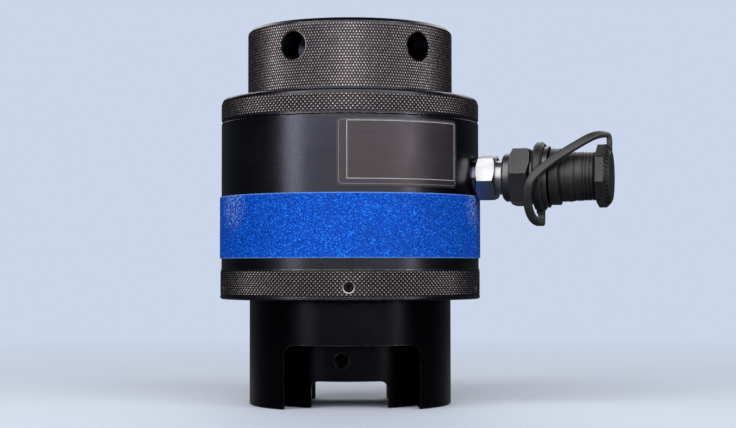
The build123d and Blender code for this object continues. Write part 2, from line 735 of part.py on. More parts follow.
# Adaptor: threaded into the port and into the coupler, with a hexagon between
adaptor_hex_end = adaptor_at + ADAPTOR_HEX_LENGTH
coupler_at = adaptor_hex_end + ADAPTOR_NECK_LENGTH
adaptor_end = coupler_at + ADAPTOR_TAIL_LENGTH
with BuildPart() as port_adaptor:
    add(spanner_hexagon(ADAPTOR_HEX_AF, adaptor_at, ADAPTOR_HEX_LENGTH, ADAPTOR_HEX_TURN))
    with BuildSketch(port_section):
        with BuildLine():
            Polyline(
                (SPOT_FACE_AT - PORT_THREAD_DEPTH + PORT_THREAD_END_GAP, 0),
                (SPOT_FACE_AT - PORT_THREAD_DEPTH + PORT_THREAD_END_GAP, PORT_THREAD_R),
                (adaptor_at, PORT_THREAD_R),
                (adaptor_hex_end, PORT_THREAD_R),
                (adaptor_hex_end, ADAPTOR_NECK_R),
                (coupler_at, ADAPTOR_NECK_R),
                (coupler_at, ADAPTOR_TAIL_R),
                (adaptor_end, ADAPTOR_TAIL_R),
                (adaptor_end, 0),
                close=True,
            )
        make_face()
    revolve(axis=port_axis)
    with BuildSketch(outward(PORT_ANGLE, BODY_R / 2, PORT_Z)):
        Circle(OIL_BORE_R)
    extrude(amount=2 * BODY_R, mode=Mode.SUBTRACT)
save(port_adaptor.part, "port_adaptor")

# Coupler nipple: shoulder, hexagon, seat for the tether ring, and the nose that the hose coupler grips
shoulder_end = coupler_at + SHOULDER_LENGTH
hex_end = shoulder_end + COUPLER_HEX_LENGTH
ring_at = hex_end + RING_FROM_HEX
seat_end = ring_at + RING_WIDTH + RING_SIDE_GAP
flange_end = seat_end + NIPPLE_FLANGE_LENGTH
nose_end = flange_end + NOSE_LENGTH
groove_at = flange_end + NOSE_GROOVE_FROM_FLANGE
o_ring_at = flange_end + O_RING_FROM_FLANGE
o_ring_depth_r = NIPPLE_R - 2 * O_RING_MINOR_R
valve_lip_at = nose_end - VALVE_LIP
with BuildPart() as coupler_body:
    add(spanner_hexagon(COUPLER_HEX_AF, shoulder_end, COUPLER_HEX_LENGTH, COUPLER_HEX_TURN))
    with BuildSketch(port_section):
        with BuildLine():
            Polyline(
                (coupler_at, 0),
                (coupler_at, SHOULDER_R - SHOULDER_CHAMFER),
                (coupler_at + SHOULDER_CHAMFER, SHOULDER_R),
                (shoulder_end, SHOULDER_R),
                (hex_end, SHOULDER_R),
                (hex_end, NIPPLE_NECK_R),
                (ring_at - RING_SIDE_GAP, NIPPLE_NECK_R),
                (ring_at - RING_SIDE_GAP, RING_SEAT_R),
                (seat_end, RING_SEAT_R),
                (seat_end, NIPPLE_FLANGE_R),
                (flange_end, NIPPLE_FLANGE_R),
                (flange_end, NIPPLE_R),
                (groove_at, NIPPLE_R),
                (groove_at + NOSE_GROOVE_DEPTH, NIPPLE_R - NOSE_GROOVE_DEPTH),
                (groove_at + NOSE_GROOVE_WIDTH - NOSE_GROOVE_DEPTH, NIPPLE_R - NOSE_GROOVE_DEPTH),
                (groove_at + NOSE_GROOVE_WIDTH, NIPPLE_R),
                (o_ring_at - O_RING_MINOR_R, NIPPLE_R),
                (o_ring_at - O_RING_MINOR_R, o_ring_depth_r),
                (o_ring_at + O_RING_MINOR_R, o_ring_depth_r),
                (o_ring_at + O_RING_MINOR_R, NIPPLE_R),
                (nose_end - NIPPLE_CHAMFER, NIPPLE_R),
                (nose_end, NIPPLE_R - NIPPLE_CHAMFER),
                (nose_end, 0),
                close=True,
            )
        make_face()
    revolve(axis=port_axis)
    with BuildSketch(port_section):
        with BuildLine():
            Polyline(
                (coupler_at, 0),
                (coupler_at, ADAPTOR_TAIL_R),
                (adaptor_end, ADAPTOR_TAIL_R),
                (adaptor_end, VALVE_BORE_R),
                (valve_lip_at - VALVE_CONE_LENGTH, VALVE_BORE_R),
                (valve_lip_at, VALVE_SEAT_R),
                (nose_end, VALVE_SEAT_R),
                (nose_end, 0),
                close=True,
            )
        make_face()
    revolve(axis=port_axis, mode=Mode.SUBTRACT)
save(coupler_body.part, "coupler_body")

# O-ring in the nose
with BuildPart() as coupler_o_ring:
    with BuildSketch(port_section):
        with Locations((o_ring_at, NIPPLE_R - O_RING_MINOR_R)):
            Circle(O_RING_MINOR_R)
    revolve(axis=port_axis)
save(coupler_o_ring.part, "coupler_o_ring")

# Valve: retainer with a guide hole and oil holes, sprung poppet with a cone and a push pin
retainer_end = adaptor_end + RETAINER_THICKNESS
with BuildPart() as poppet_retainer:
    with BuildSketch(outward(PORT_ANGLE, adaptor_end, PORT_Z)):
        Circle(VALVE_BORE_R)
        Circle(POPPET_GUIDE_R + SLIDE_GAP, mode=Mode.SUBTRACT)
        with PolarLocations((VALVE_BORE_R + POPPET_GUIDE_R) / 2, 3):
            Circle(RETAINER_HOLE_R, mode=Mode.SUBTRACT)
    extrude(amount=RETAINER_THICKNESS)
save(poppet_retainer.part, "poppet_retainer")

cone_slope = (VALVE_BORE_R - VALVE_SEAT_R) / VALVE_CONE_LENGTH
cone_start = valve_lip_at - VALVE_CONE_LENGTH - POPPET_SEAT_GAP
poppet_face = cone_start + (VALVE_BORE_R - POPPET_HEAD_R) / cone_slope
poppet_tip = cone_start + (VALVE_BORE_R - POPPET_STEM_R) / cone_slope
poppet_back = poppet_face - POPPET_HEAD_LENGTH
poppet_points = [
    (adaptor_end + SLIDE_GAP, 0),
    (adaptor_end + SLIDE_GAP, POPPET_GUIDE_R),
    (poppet_back, POPPET_GUIDE_R),
    (poppet_back, POPPET_HEAD_R),
    (poppet_face, POPPET_HEAD_R),
    (poppet_tip, POPPET_STEM_R),
    (nose_end - POPPET_PIN_SETBACK, POPPET_STEM_R),
    (nose_end - POPPET_PIN_SETBACK, 0),
]
save(turned_about_port(poppet_points), "valve_poppet")

# Poppet spring, from the retainer to the back of the poppet's head
valve_spring_margin = POPPET_WIRE_HEIGHT / 2 + SPRING_END_GAP
valve_spring_start = retainer_end + valve_spring_margin
valve_spring_length = poppet_back - valve_spring_margin - valve_spring_start
valve_spring_centre = Vector(0, 0, PORT_Z) + port_direction * valve_spring_start
with BuildPart() as poppet_spring:
    with BuildLine():
        valve_coil = Helix(
            valve_spring_length / POPPET_SPRING_TURNS,
            valve_spring_length,
            POPPET_SPRING_R,
            center=valve_spring_centre,
            direction=port_direction,
        )
    valve_coil_out = (valve_coil @ 0) - valve_spring_centre
    with BuildSketch(Plane(origin=valve_coil @ 0, x_dir=valve_coil_out, z_dir=valve_coil % 0)):
        Rectangle(POPPET_WIRE_WIDTH, POPPET_WIRE_HEIGHT)
    sweep(path=valve_coil, is_frenet=True)
save(poppet_spring.part, "poppet_spring")

# Tether ring: rubber band on the nipple's seat, with a flat foot where the strap leaves it
ring_inner_r = RING_SEAT_R + SLIDE_GAP
ring_foot_z = PORT_Z - STRAP_FOOT
with BuildPart() as tether_ring:
    with BuildSketch(port_section):
        with Locations((ring_at + RING_WIDTH / 2, (ring_inner_r + RING_OUTER_R) / 2)):
            Rectangle(RING_WIDTH, RING_OUTER_R - ring_inner_r)
        chamfer(vertices(), RING_EDGE)
    revolve(axis=port_axis)
    with BuildSketch(outward(PORT_ANGLE, ring_at + RING_EDGE / 2, PORT_Z)):
        with Locations((0, -STRAP_FOOT)):
            Rectangle(STRAP_PAD, STRAP_FOOT - RING_SEAT_R - RING_EDGE, align=(Align.CENTER, Align.MIN))
    extrude(amount=RING_WIDTH - RING_EDGE)
save(tether_ring.part, "tether_ring")

# Dust cap: rubber cup on the nose, grooved round its waist, with an eight-sided grip flange
cap_at = flange_end + CAP_GAP
cap_end = cap_at + CAP_LENGTH
cap_inner_r = NIPPLE_R + SLIDE_GAP
cap_collar_end = cap_at + CAP_COLLAR_LENGTH
cap_step_at = cap_at + CAP_WAIST_STEP_AT
cap_flange_at = cap_end - CAP_FLANGE_LENGTH
cap_face_at = cap_end - CAP_DOME
cap_face_r = CAP_FLANGE_R - CAP_FLANGE_BEVEL
strap_end_u = STRAP_ROUTE[-1][0]
with BuildPart() as cap_flange:
    with BuildSketch(outward(PORT_ANGLE, cap_flange_at, PORT_Z)):
        RegularPolygon(CAP_FLANGE_R, CAP_SIDES, rotation=180 - CAP_SIDE_ELEVATION)
        fillet(vertices(), CAP_FLANGE_CORNER_R)
    extrude(amount=CAP_FLANGE_LENGTH)
    with BuildSketch(port_section):
        with BuildLine():
            Polyline(
                (cap_flange_at, 0),
                (cap_flange_at, CAP_WAIST_END_R),
                (cap_flange_at + CAP_FLANGE_SLOPE, CAP_FLANGE_R),
                (cap_face_at - CAP_FLANGE_BEVEL, CAP_FLANGE_R),
                (cap_face_at, cap_face_r),
                (cap_end, cap_face_r / 2),
                (cap_end, 0),
                close=True,
            )
        make_face()
    revolve(axis=port_axis, mode=Mode.INTERSECT)

with BuildPart() as dust_cap:
    with BuildSketch(port_section):
        with BuildLine():
            Polyline(
                (cap_at, 0),
                (cap_at, CAP_COLLAR_R - EDGE_CHAMFER),
                (cap_at + EDGE_CHAMFER, CAP_COLLAR_R),
                (cap_collar_end - CAP_COLLAR_SLOPE, CAP_COLLAR_R),
                (cap_collar_end, CAP_WAIST_R),
                (cap_step_at, CAP_WAIST_R),
                (cap_step_at + CAP_WAIST_STEP, CAP_WAIST_R - CAP_WAIST_STEP),
                (cap_flange_at, CAP_WAIST_END_R),
                (cap_flange_at, 0),
                close=True,
            )
        make_face()
        for groove in range(CAP_GROOVES):
            with Locations((cap_at + CAP_FIRST_GROOVE_AT + groove * CAP_GROOVE_PITCH, CAP_WAIST_R)):
                Rectangle(CAP_GROOVE_WIDTH, 2 * CAP_GROOVE_DEPTH, mode=Mode.SUBTRACT)
    revolve(axis=port_axis)
    add(cap_flange.part)
    with BuildSketch(outward(PORT_ANGLE, cap_at, PORT_Z)):
        Circle(cap_inner_r)
    extrude(amount=nose_end + CAP_END_GAP - cap_at, mode=Mode.SUBTRACT)
    with BuildSketch(outward(PORT_ANGLE, strap_end_u - STRAP_PAD / 2, PORT_Z)):
        with Locations((0, STRAP_HEAD / 2 + cap_face_r / 2)):
            Rectangle(STRAP_PAD, STRAP_HEAD - cap_face_r)
    extrude(amount=cap_face_at - strap_end_u + STRAP_PAD / 2)
save(dust_cap.part, "dust_cap")

# Tether strap: its route is given along the port's axis, towards the front, and up from that axis
front_level = -outward(PORT_ANGLE).x_dir
route = [
    Vector(0, 0, PORT_Z + up) + port_direction * along + front_level * aside for along, aside, up in STRAP_ROUTE
]
route[0] = Vector(route[0].X, route[0].Y, ring_foot_z)
runs = [second - first for first, second in zip(route, route[1:])]
turns = [before.get_angle(after) for before, after in zip(runs, runs[1:])]
bend_radii = [
    BEND_SHARE * min(before.length, after.length) / tan(radians(turn / 2))
    for before, after, turn in zip(runs, runs[1:], turns)
]
with BuildPart() as cap_tether:
    with BuildLine():
        strap_line = FilletPolyline(*route, radius=bend_radii)
    with BuildSketch(Plane(origin=route[0], z_dir=runs[0])):
        Circle(STRAP_TUBE_R)
    sweep(path=strap_line)
save(cap_tether.part, "cap_tether")
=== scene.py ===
import json
import math
import random

import bmesh
import bpy
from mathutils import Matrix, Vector


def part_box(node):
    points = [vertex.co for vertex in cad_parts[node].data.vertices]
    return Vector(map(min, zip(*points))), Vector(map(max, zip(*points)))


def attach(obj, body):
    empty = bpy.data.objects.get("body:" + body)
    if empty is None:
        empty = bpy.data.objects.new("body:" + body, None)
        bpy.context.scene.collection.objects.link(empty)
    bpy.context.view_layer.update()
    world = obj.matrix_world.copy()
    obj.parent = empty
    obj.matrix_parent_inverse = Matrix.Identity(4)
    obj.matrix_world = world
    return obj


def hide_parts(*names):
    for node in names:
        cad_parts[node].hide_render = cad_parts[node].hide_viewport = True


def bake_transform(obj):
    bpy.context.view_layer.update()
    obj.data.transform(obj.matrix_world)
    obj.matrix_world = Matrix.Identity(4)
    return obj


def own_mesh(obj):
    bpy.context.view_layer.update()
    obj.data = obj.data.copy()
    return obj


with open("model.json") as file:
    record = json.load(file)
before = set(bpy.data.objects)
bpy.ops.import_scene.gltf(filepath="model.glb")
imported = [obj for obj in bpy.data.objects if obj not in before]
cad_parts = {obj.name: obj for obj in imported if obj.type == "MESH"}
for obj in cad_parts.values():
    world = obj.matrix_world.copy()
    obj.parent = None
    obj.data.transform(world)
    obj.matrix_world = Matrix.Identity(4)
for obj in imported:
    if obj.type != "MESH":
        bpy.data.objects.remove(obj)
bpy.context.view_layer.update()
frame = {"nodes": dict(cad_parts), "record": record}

# Topside hydraulic bolt tensioner, in metres. The tool axis is +Z and the front is -Y. Angles about
# the tool axis are in degrees from the front towards +X, the side that the coupler is on.

MM = 0.001
UP = Vector((0, 0, 1))
NODES = frame["nodes"]

# Camera, fitted to the photograph: level with the cylinder's foot and tilted up by two degrees
CAMERA_PLACE = (7.3 * MM, -659.7 * MM, 55.4 * MM)
CAMERA_PITCH = 0.033
CAMERA_ROLL = 0.0012
CAMERA_LENS = 78.77
SENSOR_WIDTH = 36.0
CAMERA_NEAR = 0.05
CAMERA_FAR = 30.0

# Places about the tool axis and along the oil port's axis

PORT_ANGLE = 75.0
PORT_Z = 91.1 * MM


def around(radius, turn, z):
    """Point at a radius and a height, a turn in radians round from the front."""
    return Vector((radius * math.sin(turn), -radius * math.cos(turn), z))


def outward(angle):
    """Level direction from the tool axis at an angle."""
    return around(1.0, math.radians(angle), 0.0)


PORT_OUT = outward(PORT_ANGLE)
PORT_FRONT = outward(PORT_ANGLE - 90.0)


def port_point(along, aside, up):
    """Point in millimetres along the port's axis, towards the front and up from it, in metres."""
    return (PORT_OUT * along + PORT_FRONT * aside) * MM + UP * (PORT_Z + up * MM)


def outer_radius(node):
    """Largest radius of a node that is round about the tool axis."""
    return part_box(node)[1][1]


def heights(node):
    """Lowest and highest height of a node."""
    return [corner[2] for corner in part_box(node)]


def clamped(value):
    return min(1.0, max(0.0, value))


# Mesh helpers


def new_object(name, data):
    piece = bpy.data.objects.new(name, data)
    bpy.context.scene.collection.objects.link(piece)
    return piece


def mesh_piece(name, points, faces, material, smooth=False):
    mesh = bpy.data.meshes.new(name)
    mesh.from_pydata([tuple(point) for point in points], [], faces)
    mesh.update()
    work = bmesh.new()
    work.from_mesh(mesh)
    bmesh.ops.recalc_face_normals(work, faces=work.faces)
    work.to_mesh(mesh)
    work.free()
    for polygon in mesh.polygons:
        polygon.use_smooth = smooth
    mesh.materials.append(material)
    return new_object(name, mesh)


def evaluated_mesh(piece):
    """New mesh of an object as its modifiers or curve settings make it."""
    return bpy.data.meshes.new_from_object(piece.evaluated_get(bpy.context.evaluated_depsgraph_get()))


def ring_quads(low, high, sides):
    """Faces between two rings of points, each given by the number of its first point."""
    return [
        (low + side, low + (side + 1) % sides, high + (side + 1) % sides, high + side)
        for side in range(sides)
    ]


def tube_quads(rings, sides, start=0, closed=False):
    """Faces between rings that follow one another, and from the last to the first if closed."""
    faces = []
    for ring in range(rings if closed else rings - 1):
        faces += ring_quads(start + ring * sides, start + (ring + 1) % rings * sides, sides)
    return faces


def ring_face(start, sides):
    """One face that fills a ring of points."""
    return tuple(range(start, start + sides))


def rounded_rectangle(half_wide, half_high, corner, steps):
    """Outline of a rectangle whose corners are arcs of a radius, in a number of steps each."""
    outline = []
    for quarter, (sign_u, sign_v) in enumerate(((1, 1), (-1, 1), (-1, -1), (1, -1))):
        for step in range(steps + 1):
            swing = math.radians(90 * (quarter + step / steps))
            outline.append(
                (
                    sign_u * (half_wide - corner) + corner * math.cos(swing),
                    sign_v * (half_high - corner) + corner * math.sin(swing),
                )
            )
    return outline


# Material helpers

NOISE_ROUGHNESS = 0.55
BEVEL_SAMPLES = 6
OPENNESS_SAMPLES = 8
OPEN_EDGE, SHARP_EDGE = 0.995, 0.9


class Surface:
    """A material with a Principled shader, and short calls for the nodes that feed it.

    The colour and roughness given are the surface's middle ones, which its nodes then vary.
    """

    def __init__(self, name, colour, metallic=0.0, roughness=0.5):
        self.material = bpy.data.materials.new(name)
        self.material.use_nodes = True
        self.tree = self.material.node_tree
        self.shader = self.tree.nodes["Principled BSDF"]
        self.shader.inputs["Base Color"].default_value = (*colour, 1)
        self.shader.inputs["Metallic"].default_value = metallic
        self.shader.inputs["Roughness"].default_value = roughness
        self.place = self.node("ShaderNodeTexCoord").outputs["Object"]

    def node(self, kind, inputs=(), **settings):
        """New node; an input is a value, or another node's output to link."""
        made = self.tree.nodes.new(kind)
        for key, value in settings.items():
            setattr(made, key, value)
        for key, value in dict(inputs).items():
            if hasattr(value, "is_output"):
                self.tree.links.new(value, made.inputs[key])
            else:
                made.inputs[key].default_value = value
        return made

    def feed(self, socket, value):
        self.tree.links.new(value, self.shader.inputs[socket])

    def maths(self, operation, first, second=0.0, clamp=False):
        return self.node(
            "ShaderNodeMath", {0: first, 1: second}, operation=operation, use_clamp=clamp
        ).outputs[0]

    def vector_maths(self, operation, first, second):
        return self.node("ShaderNodeVectorMath", {0: first, 1: second}, operation=operation).outputs

    def noise(self, scale, detail, stretch=None):
        place = self.vector_maths("MULTIPLY", self.place, stretch)[0] if stretch else self.place
        return self.node(
            "ShaderNodeTexNoise",
            {"Vector": place, "Scale": scale, "Detail": detail, "Roughness": NOISE_ROUGHNESS},
        ).outputs["Fac"]

    def ramp(self, value, low, high, start=0.0, end=1.0):
        """A value between low and high mapped to start and end, and held outside."""
        return self.node(
            "ShaderNodeMapRange",
            {"Value": value, "From Min": low, "From Max": high, "To Min": start, "To Max": end},
        ).outputs["Result"]

    def mix(self, share, first, second):
        """Colour between first and second."""
        mixed = self.node("ShaderNodeMix", {0: share}, data_type="RGBA")
        for socket, value in ((6, first), (7, second)):
            if hasattr(value, "is_output"):
                self.tree.links.new(value, mixed.inputs[socket])
            else:
                mixed.inputs[socket].default_value = (*value, 1)
        return mixed.outputs[2]

    def edges(self, width):
        """1 on edges, 0 on open faces."""
        rounded = self.node("ShaderNodeBevel", {"Radius": width}, samples=BEVEL_SAMPLES).outputs["Normal"]
        plain = self.node("ShaderNodeNewGeometry").outputs["Normal"]
        alike = self.vector_maths("DOT_PRODUCT", rounded, plain)["Value"]
        return self.ramp(alike, OPEN_EDGE, SHARP_EDGE)

    def openness(self, reach):
        """How open a face is to its surroundings within a reach, from 0 to 1."""
        return self.node(
            "ShaderNodeAmbientOcclusion", {"Distance": reach}, samples=OPENNESS_SAMPLES
        ).outputs["AO"]

    def bump(self, height, distance, strength, after=None):
        inputs = {"Height": height, "Distance": distance, "Strength": strength}
        if after is not None:
            inputs["Normal"] = after
        return self.node("ShaderNodeBump", inputs).outputs["Normal"]

    def distance(self, point):
        return self.vector_maths("DISTANCE", self.place, point)["Value"]

    def height_and_radius(self):
        """Z and the radius from the tool axis."""
        x, y, z = self.node("ShaderNodeSeparateXYZ", {0: self.place}).outputs
        square = self.maths("ADD", self.maths("MULTIPLY", x, x), self.maths("MULTIPLY", y, y))
        return z, self.maths("SQRT", square)


def scaled(colour, level):
    return tuple(part * level for part in colour)


# Black oxide

OXIDE_TINT = (1.0, 1.0, 1.3)
OXIDE_DEEP = 0.031
OXIDE_PALE = 0.045
OXIDE_MIDDLE = (0.03, 0.029, 0.031)
# Bare edge colour: abrasion, and also a painted highlight along the edges
BARE_EDGE_AND_HIGHLIGHT = (0.40, 0.39, 0.38)
# Near-black painted shade that hides a reflection round a point
SPOT_PAINTED_SHADE = (0.004, 0.004, 0.005)
PAINTED_SHADE_EDGE = 0.95
TURNING_STRETCH = (0.02, 0.02, 14.0)
EDGE_WIDTH = 0.3 * MM


def black_steel(
    name, roughness=0.28, abrasion_and_highlight=0.5, lines=0.15, tone=1.0, tint=OXIDE_TINT,
    abrasion_and_highlight_width=EDGE_WIDTH, painted_shade=None,
):
    """Black oxide on turned steel: glossy, faintly lined round the axis, bare along abraded edges that
    also stand in as painted edge highlights.

    The third argument is how bare and bright the edges are, lines how deep the turning marks are, tone and
    tint the coat's level and hue, and the last argument a point and the reach round it where the coat is
    painted near-black, as painted shade that hides a reflection there.
    """
    steel = Surface(name, OXIDE_MIDDLE, metallic=1.0, roughness=roughness)
    cloud = steel.noise(scale=38, detail=5)
    fine = steel.noise(scale=900, detail=3)
    turned = steel.noise(scale=260, detail=2, stretch=TURNING_STRETCH)
    deep, pale = scaled(tint, tone * OXIDE_DEEP), scaled(tint, tone * OXIDE_PALE)
    coat = steel.mix(steel.ramp(cloud, 0.3, 0.7), deep, pale)
    # Bare steel on the edges: partly abrasion, partly a painted highlight along the edges
    patchy = steel.ramp(steel.noise(scale=420, detail=4), 0.40, 0.60, 0.25, 1.0)
    brightened = steel.maths("MULTIPLY", steel.edges(abrasion_and_highlight_width), patchy)
    brightened = steel.maths("MULTIPLY", brightened, abrasion_and_highlight, clamp=True)
    # Painted shade: the coat is made near-black round a point, to hide the reflection there
    if painted_shade:
        point, reach = painted_shade
        inside = steel.ramp(steel.distance(point), reach, PAINTED_SHADE_EDGE * reach)
        coat = steel.mix(inside, coat, SPOT_PAINTED_SHADE)
    steel.feed("Base Color", steel.mix(brightened, coat, BARE_EDGE_AND_HIGHLIGHT))
    uneven = steel.ramp(cloud, 0.25, 0.75, roughness - 0.04, roughness + 0.05)
    steel.feed("Roughness", steel.maths("ADD", uneven, steel.ramp(fine, 0.3, 0.8, -0.02, 0.04)))
    turned_bump = steel.bump(turned, 0.02 * MM, lines)
    steel.feed("Normal", steel.bump(fine, 0.01 * MM, 0.12, turned_bump))
    return steel.material


# Bright and spring steel

ZINC = (0.42, 0.42, 0.43)
OILED_STEEL = (0.36, 0.36, 0.37)
BARED_STEEL = (0.34, 0.32, 0.32)
STAIN_LEVEL = 0.72


def bright_steel(name, colour=ZINC, roughness=0.26):
    """Bright steel, plated or bare, with faint stains."""
    steel = Surface(name, colour, metallic=1.0, roughness=roughness)
    cloud = steel.noise(scale=160, detail=4)
    stained = steel.ramp(cloud, 0.45, 0.75)
    steel.feed("Base Color", steel.mix(stained, colour, scaled(colour, STAIN_LEVEL)))
    steel.feed("Roughness", steel.ramp(cloud, 0.3, 0.8, roughness - 0.04, roughness + 0.12))
    steel.feed("Normal", steel.bump(steel.noise(scale=1500, detail=2), 0.006 * MM, 0.3))
    return steel.material


# Rubber and plastic

BLACK_RUBBER = (0.008, 0.008, 0.0085)
GREY_RUBBER = (0.020, 0.020, 0.0205)
SEAL_RUBBER = (0.02, 0.02, 0.022)
ACETAL = (0.62, 0.58, 0.48)
DUST_LEVEL = 2.0
# Painted highlight on the rubber's open crests
CREST_PAINTED_HIGHLIGHT = 5.0
# Painted shade in the grooves, and how far it reaches
GROOVE_PAINTED_SHADE = 0.2
PAINTED_SHADE_REACH = 2.0 * MM


def rubber(name, colour=BLACK_RUBBER, roughness=0.44):
    """Moulded rubber: matte and dusted, with painted shade in its grooves and painted highlights on its
    crests.
    """
    soft = Surface(name, colour, roughness=roughness)
    dust = soft.ramp(soft.noise(scale=120, detail=6), 0.42, 0.75)
    # Painted shade: colour and sheen are darkened where the face is closed in, in grooves and recesses
    unshaded = soft.ramp(soft.openness(PAINTED_SHADE_REACH), 0.45, 0.9)
    # Painted highlight: open convex edges are coloured pale
    crest = soft.maths("MULTIPLY", soft.edges(EDGE_WIDTH), unshaded)
    dusted = soft.mix(dust, colour, scaled(colour, DUST_LEVEL))
    brightened = soft.mix(crest, dusted, scaled(colour, CREST_PAINTED_HIGHLIGHT))
    soft.feed("Base Color", soft.mix(unshaded, scaled(colour, GROOVE_PAINTED_SHADE), brightened))
    soft.feed("Specular IOR Level", soft.maths("MULTIPLY", unshaded, 0.5))
    patches = soft.noise(scale=300, detail=3)
    soft.feed("Roughness", soft.ramp(patches, 0.3, 0.7, roughness - 0.07, roughness + 0.12))
    soft.feed("Normal", soft.bump(soft.noise(scale=2600, detail=3), 0.02 * MM, 0.35))
    return soft.material


# Grip tape's grit

TAPE_HEIGHTS = heights("grip_tape")
TAPE_MIDDLE = sum(TAPE_HEIGHTS) / 2
TAPE_HALF = (TAPE_HEIGHTS[1] - TAPE_HEIGHTS[0]) / 2
# Two spots where grains are painted pale: painted glints
TAPE_GLINT_R = 53 * MM
TAPE_GLINT_Z = 79.5 * MM
TAPE_GLINT_ANGLES = (-60.0, 70.0)
TAPE_GLINT_REACH = (11 * MM, 3 * MM)
GRAIN_SCALE = 2600.0
GRIT_MIDDLE = (0.002, 0.085, 0.58)
GRIT_SHINE = (0.25, 0.6, 1.0)
GRIT_DEEP = (0.001, 0.022, 0.23)
GRIT_BLUE = (0.001, 0.066, 0.50)
GRIT_PALE = (0.02, 0.24, 0.92)
GRIT_SOILED = (0.003, 0.035, 0.24)
# Colour of the painted glints
GRIT_PAINTED_GLINT = (0.38, 0.56, 0.90)
TAPE_CUT = (0.20, 0.36, 0.72)


def grit_tape(name):
    """Blue anti-slip tape: glassy grains, some light and some deep, with grains painted pale in two spots
    as painted glints.
    """
    tape = Surface(name, GRIT_MIDDLE, roughness=0.45)
    tape.shader.inputs["Specular IOR Level"].default_value = 0.3
    tape.shader.inputs["Specular Tint"].default_value = (*GRIT_SHINE, 1)
    grains = tape.node("ShaderNodeTexVoronoi", {"Vector": tape.place, "Scale": GRAIN_SCALE})
    tone = tape.node("ShaderNodeSeparateColor", {0: grains.outputs["Color"]}).outputs[0]
    deep = tape.mix(tape.ramp(tone, 0.0, 0.5), GRIT_DEEP, GRIT_BLUE)
    pale = tape.mix(tape.ramp(tone, 0.82, 0.97), deep, GRIT_PALE)
    soiled = tape.ramp(tape.noise(scale=90, detail=6), 0.5, 0.78, 0.0, 0.4)
    coloured = tape.mix(soiled, pale, GRIT_SOILED)
    # Painted glints: pale grains in two spots
    spots = [around(TAPE_GLINT_R, math.radians(angle), TAPE_GLINT_Z) for angle in TAPE_GLINT_ANGLES]
    near = tape.maths("ADD", *[tape.ramp(tape.distance(spot), *TAPE_GLINT_REACH) for spot in spots])
    painted_glint = tape.maths("MULTIPLY", near, tape.ramp(tone, 0.55, 0.75, 0.0, 0.5), clamp=True)
    coloured = tape.mix(painted_glint, coloured, GRIT_PAINTED_GLINT)
    z = tape.height_and_radius()[0]
    from_middle = tape.maths("ABSOLUTE", tape.maths("SUBTRACT", z, TAPE_MIDDLE))
    cut = tape.ramp(from_middle, TAPE_HALF - 0.5 * MM, TAPE_HALF - 0.1 * MM, 0.0, 0.55)
    tape.feed("Base Color", tape.mix(cut, coloured, TAPE_CUT))
    tape.feed("Roughness", tape.ramp(tone, 0.0, 1.0, 0.35, 0.6))
    tape.feed("Normal", tape.bump(grains.outputs["Distance"], 0.1 * MM, 0.5))
    return tape.material


# Rating plate and its print

PLATE_MIDDLE = (0.05, 0.05, 0.054)
PLATE_DEEP = (0.046, 0.037, 0.042)
PLATE_PALE = (0.057, 0.046, 0.052)
BRUSHING_STRETCH = (0.15, 0.15, 6.0)
BORDER_INK = (0.16, 0.17, 0.18)
FRAME_INK = (0.45, 0.46, 0.47)
FADED_INK = 0.7


def plate_metal(name):
    """Dark anodised aluminium, bare, finely brushed along its length."""
    plate = Surface(name, PLATE_MIDDLE, metallic=0.6, roughness=0.38)
    brushed = plate.noise(scale=300, detail=3, stretch=BRUSHING_STRETCH)
    plate.feed("Base Color", plate.mix(plate.ramp(brushed, 0.3, 0.7), PLATE_DEEP, PLATE_PALE))
    plate.feed("Roughness", plate.ramp(plate.noise(scale=70, detail=4), 0.3, 0.7, 0.32, 0.46))
    plate.feed("Normal", plate.bump(brushed, 0.01 * MM, 0.15))
    return plate.material


def printed_line(name, colour):
    """Thin enamel print, faded in places."""
    ink = Surface(name, colour, roughness=0.45)
    faded = ink.ramp(ink.noise(scale=400, detail=4), 0.45, 0.8)
    ink.feed("Base Color", ink.mix(faded, colour, scaled(colour, FADED_INK)))
    ink.feed("Normal", ink.bump(ink.noise(scale=1200, detail=2), 0.01 * MM, 0.3))
    return ink.material


# Finishes of the CAD nodes: one for each of the record's slots, and some nodes' own

SLOTS = {
    "black_steel": black_steel("black_oxide"),
    "bright_steel": bright_steel("zinc_plate"),
    "spring_steel": bright_steel("oiled_spring", OILED_STEEL, 0.3),
    "seal": rubber("seal_rubber", SEAL_RUBBER, 0.42),
    "backup": rubber("acetal", ACETAL, 0.4),
    "tape": grit_tape("blue_grit"),
    "plate": plate_metal("dark_plate"),
    "cap_rubber": rubber("cap_rubber"),
}
# Round the oil port's spot face the body's coat is painted near-black: painted shade that hides the flat's
# reflection
SPOT_FACE = port_point(51.9, 0, 0)
SPOT_SHADE_REACH = 8.4 * MM
COUPLER_TINT = (1.05, 1.0, 1.03)
OWN_FINISH = {
    "cylinder_body": black_steel("body_oxide", painted_shade=(SPOT_FACE, SPOT_SHADE_REACH)),
    "port_seal_washer": black_steel("washer_oxide", roughness=0.16, abrasion_and_highlight=0.3, tone=3.5),
    "collar_grub_screws": black_steel("screw_oxide", roughness=0.3, abrasion_and_highlight=0.2, tone=0.2),
    "bridge": black_steel("bridge_oxide", roughness=0.27, abrasion_and_highlight=0.35, tone=0.27),
    "nut_socket": black_steel("socket_oxide", roughness=0.24, abrasion_and_highlight=0.3, tone=0.2),
    # Coupler: its hex edges are bared wide and in full, mostly a painted highlight along the edges, partly
    # abrasion
    "coupler_body": black_steel(
        "coupler_zinc", roughness=0.34, abrasion_and_highlight=1.0, lines=0.05, tone=3.0, tint=COUPLER_TINT,
        abrasion_and_highlight_width=0.5 * MM,
    ),
}

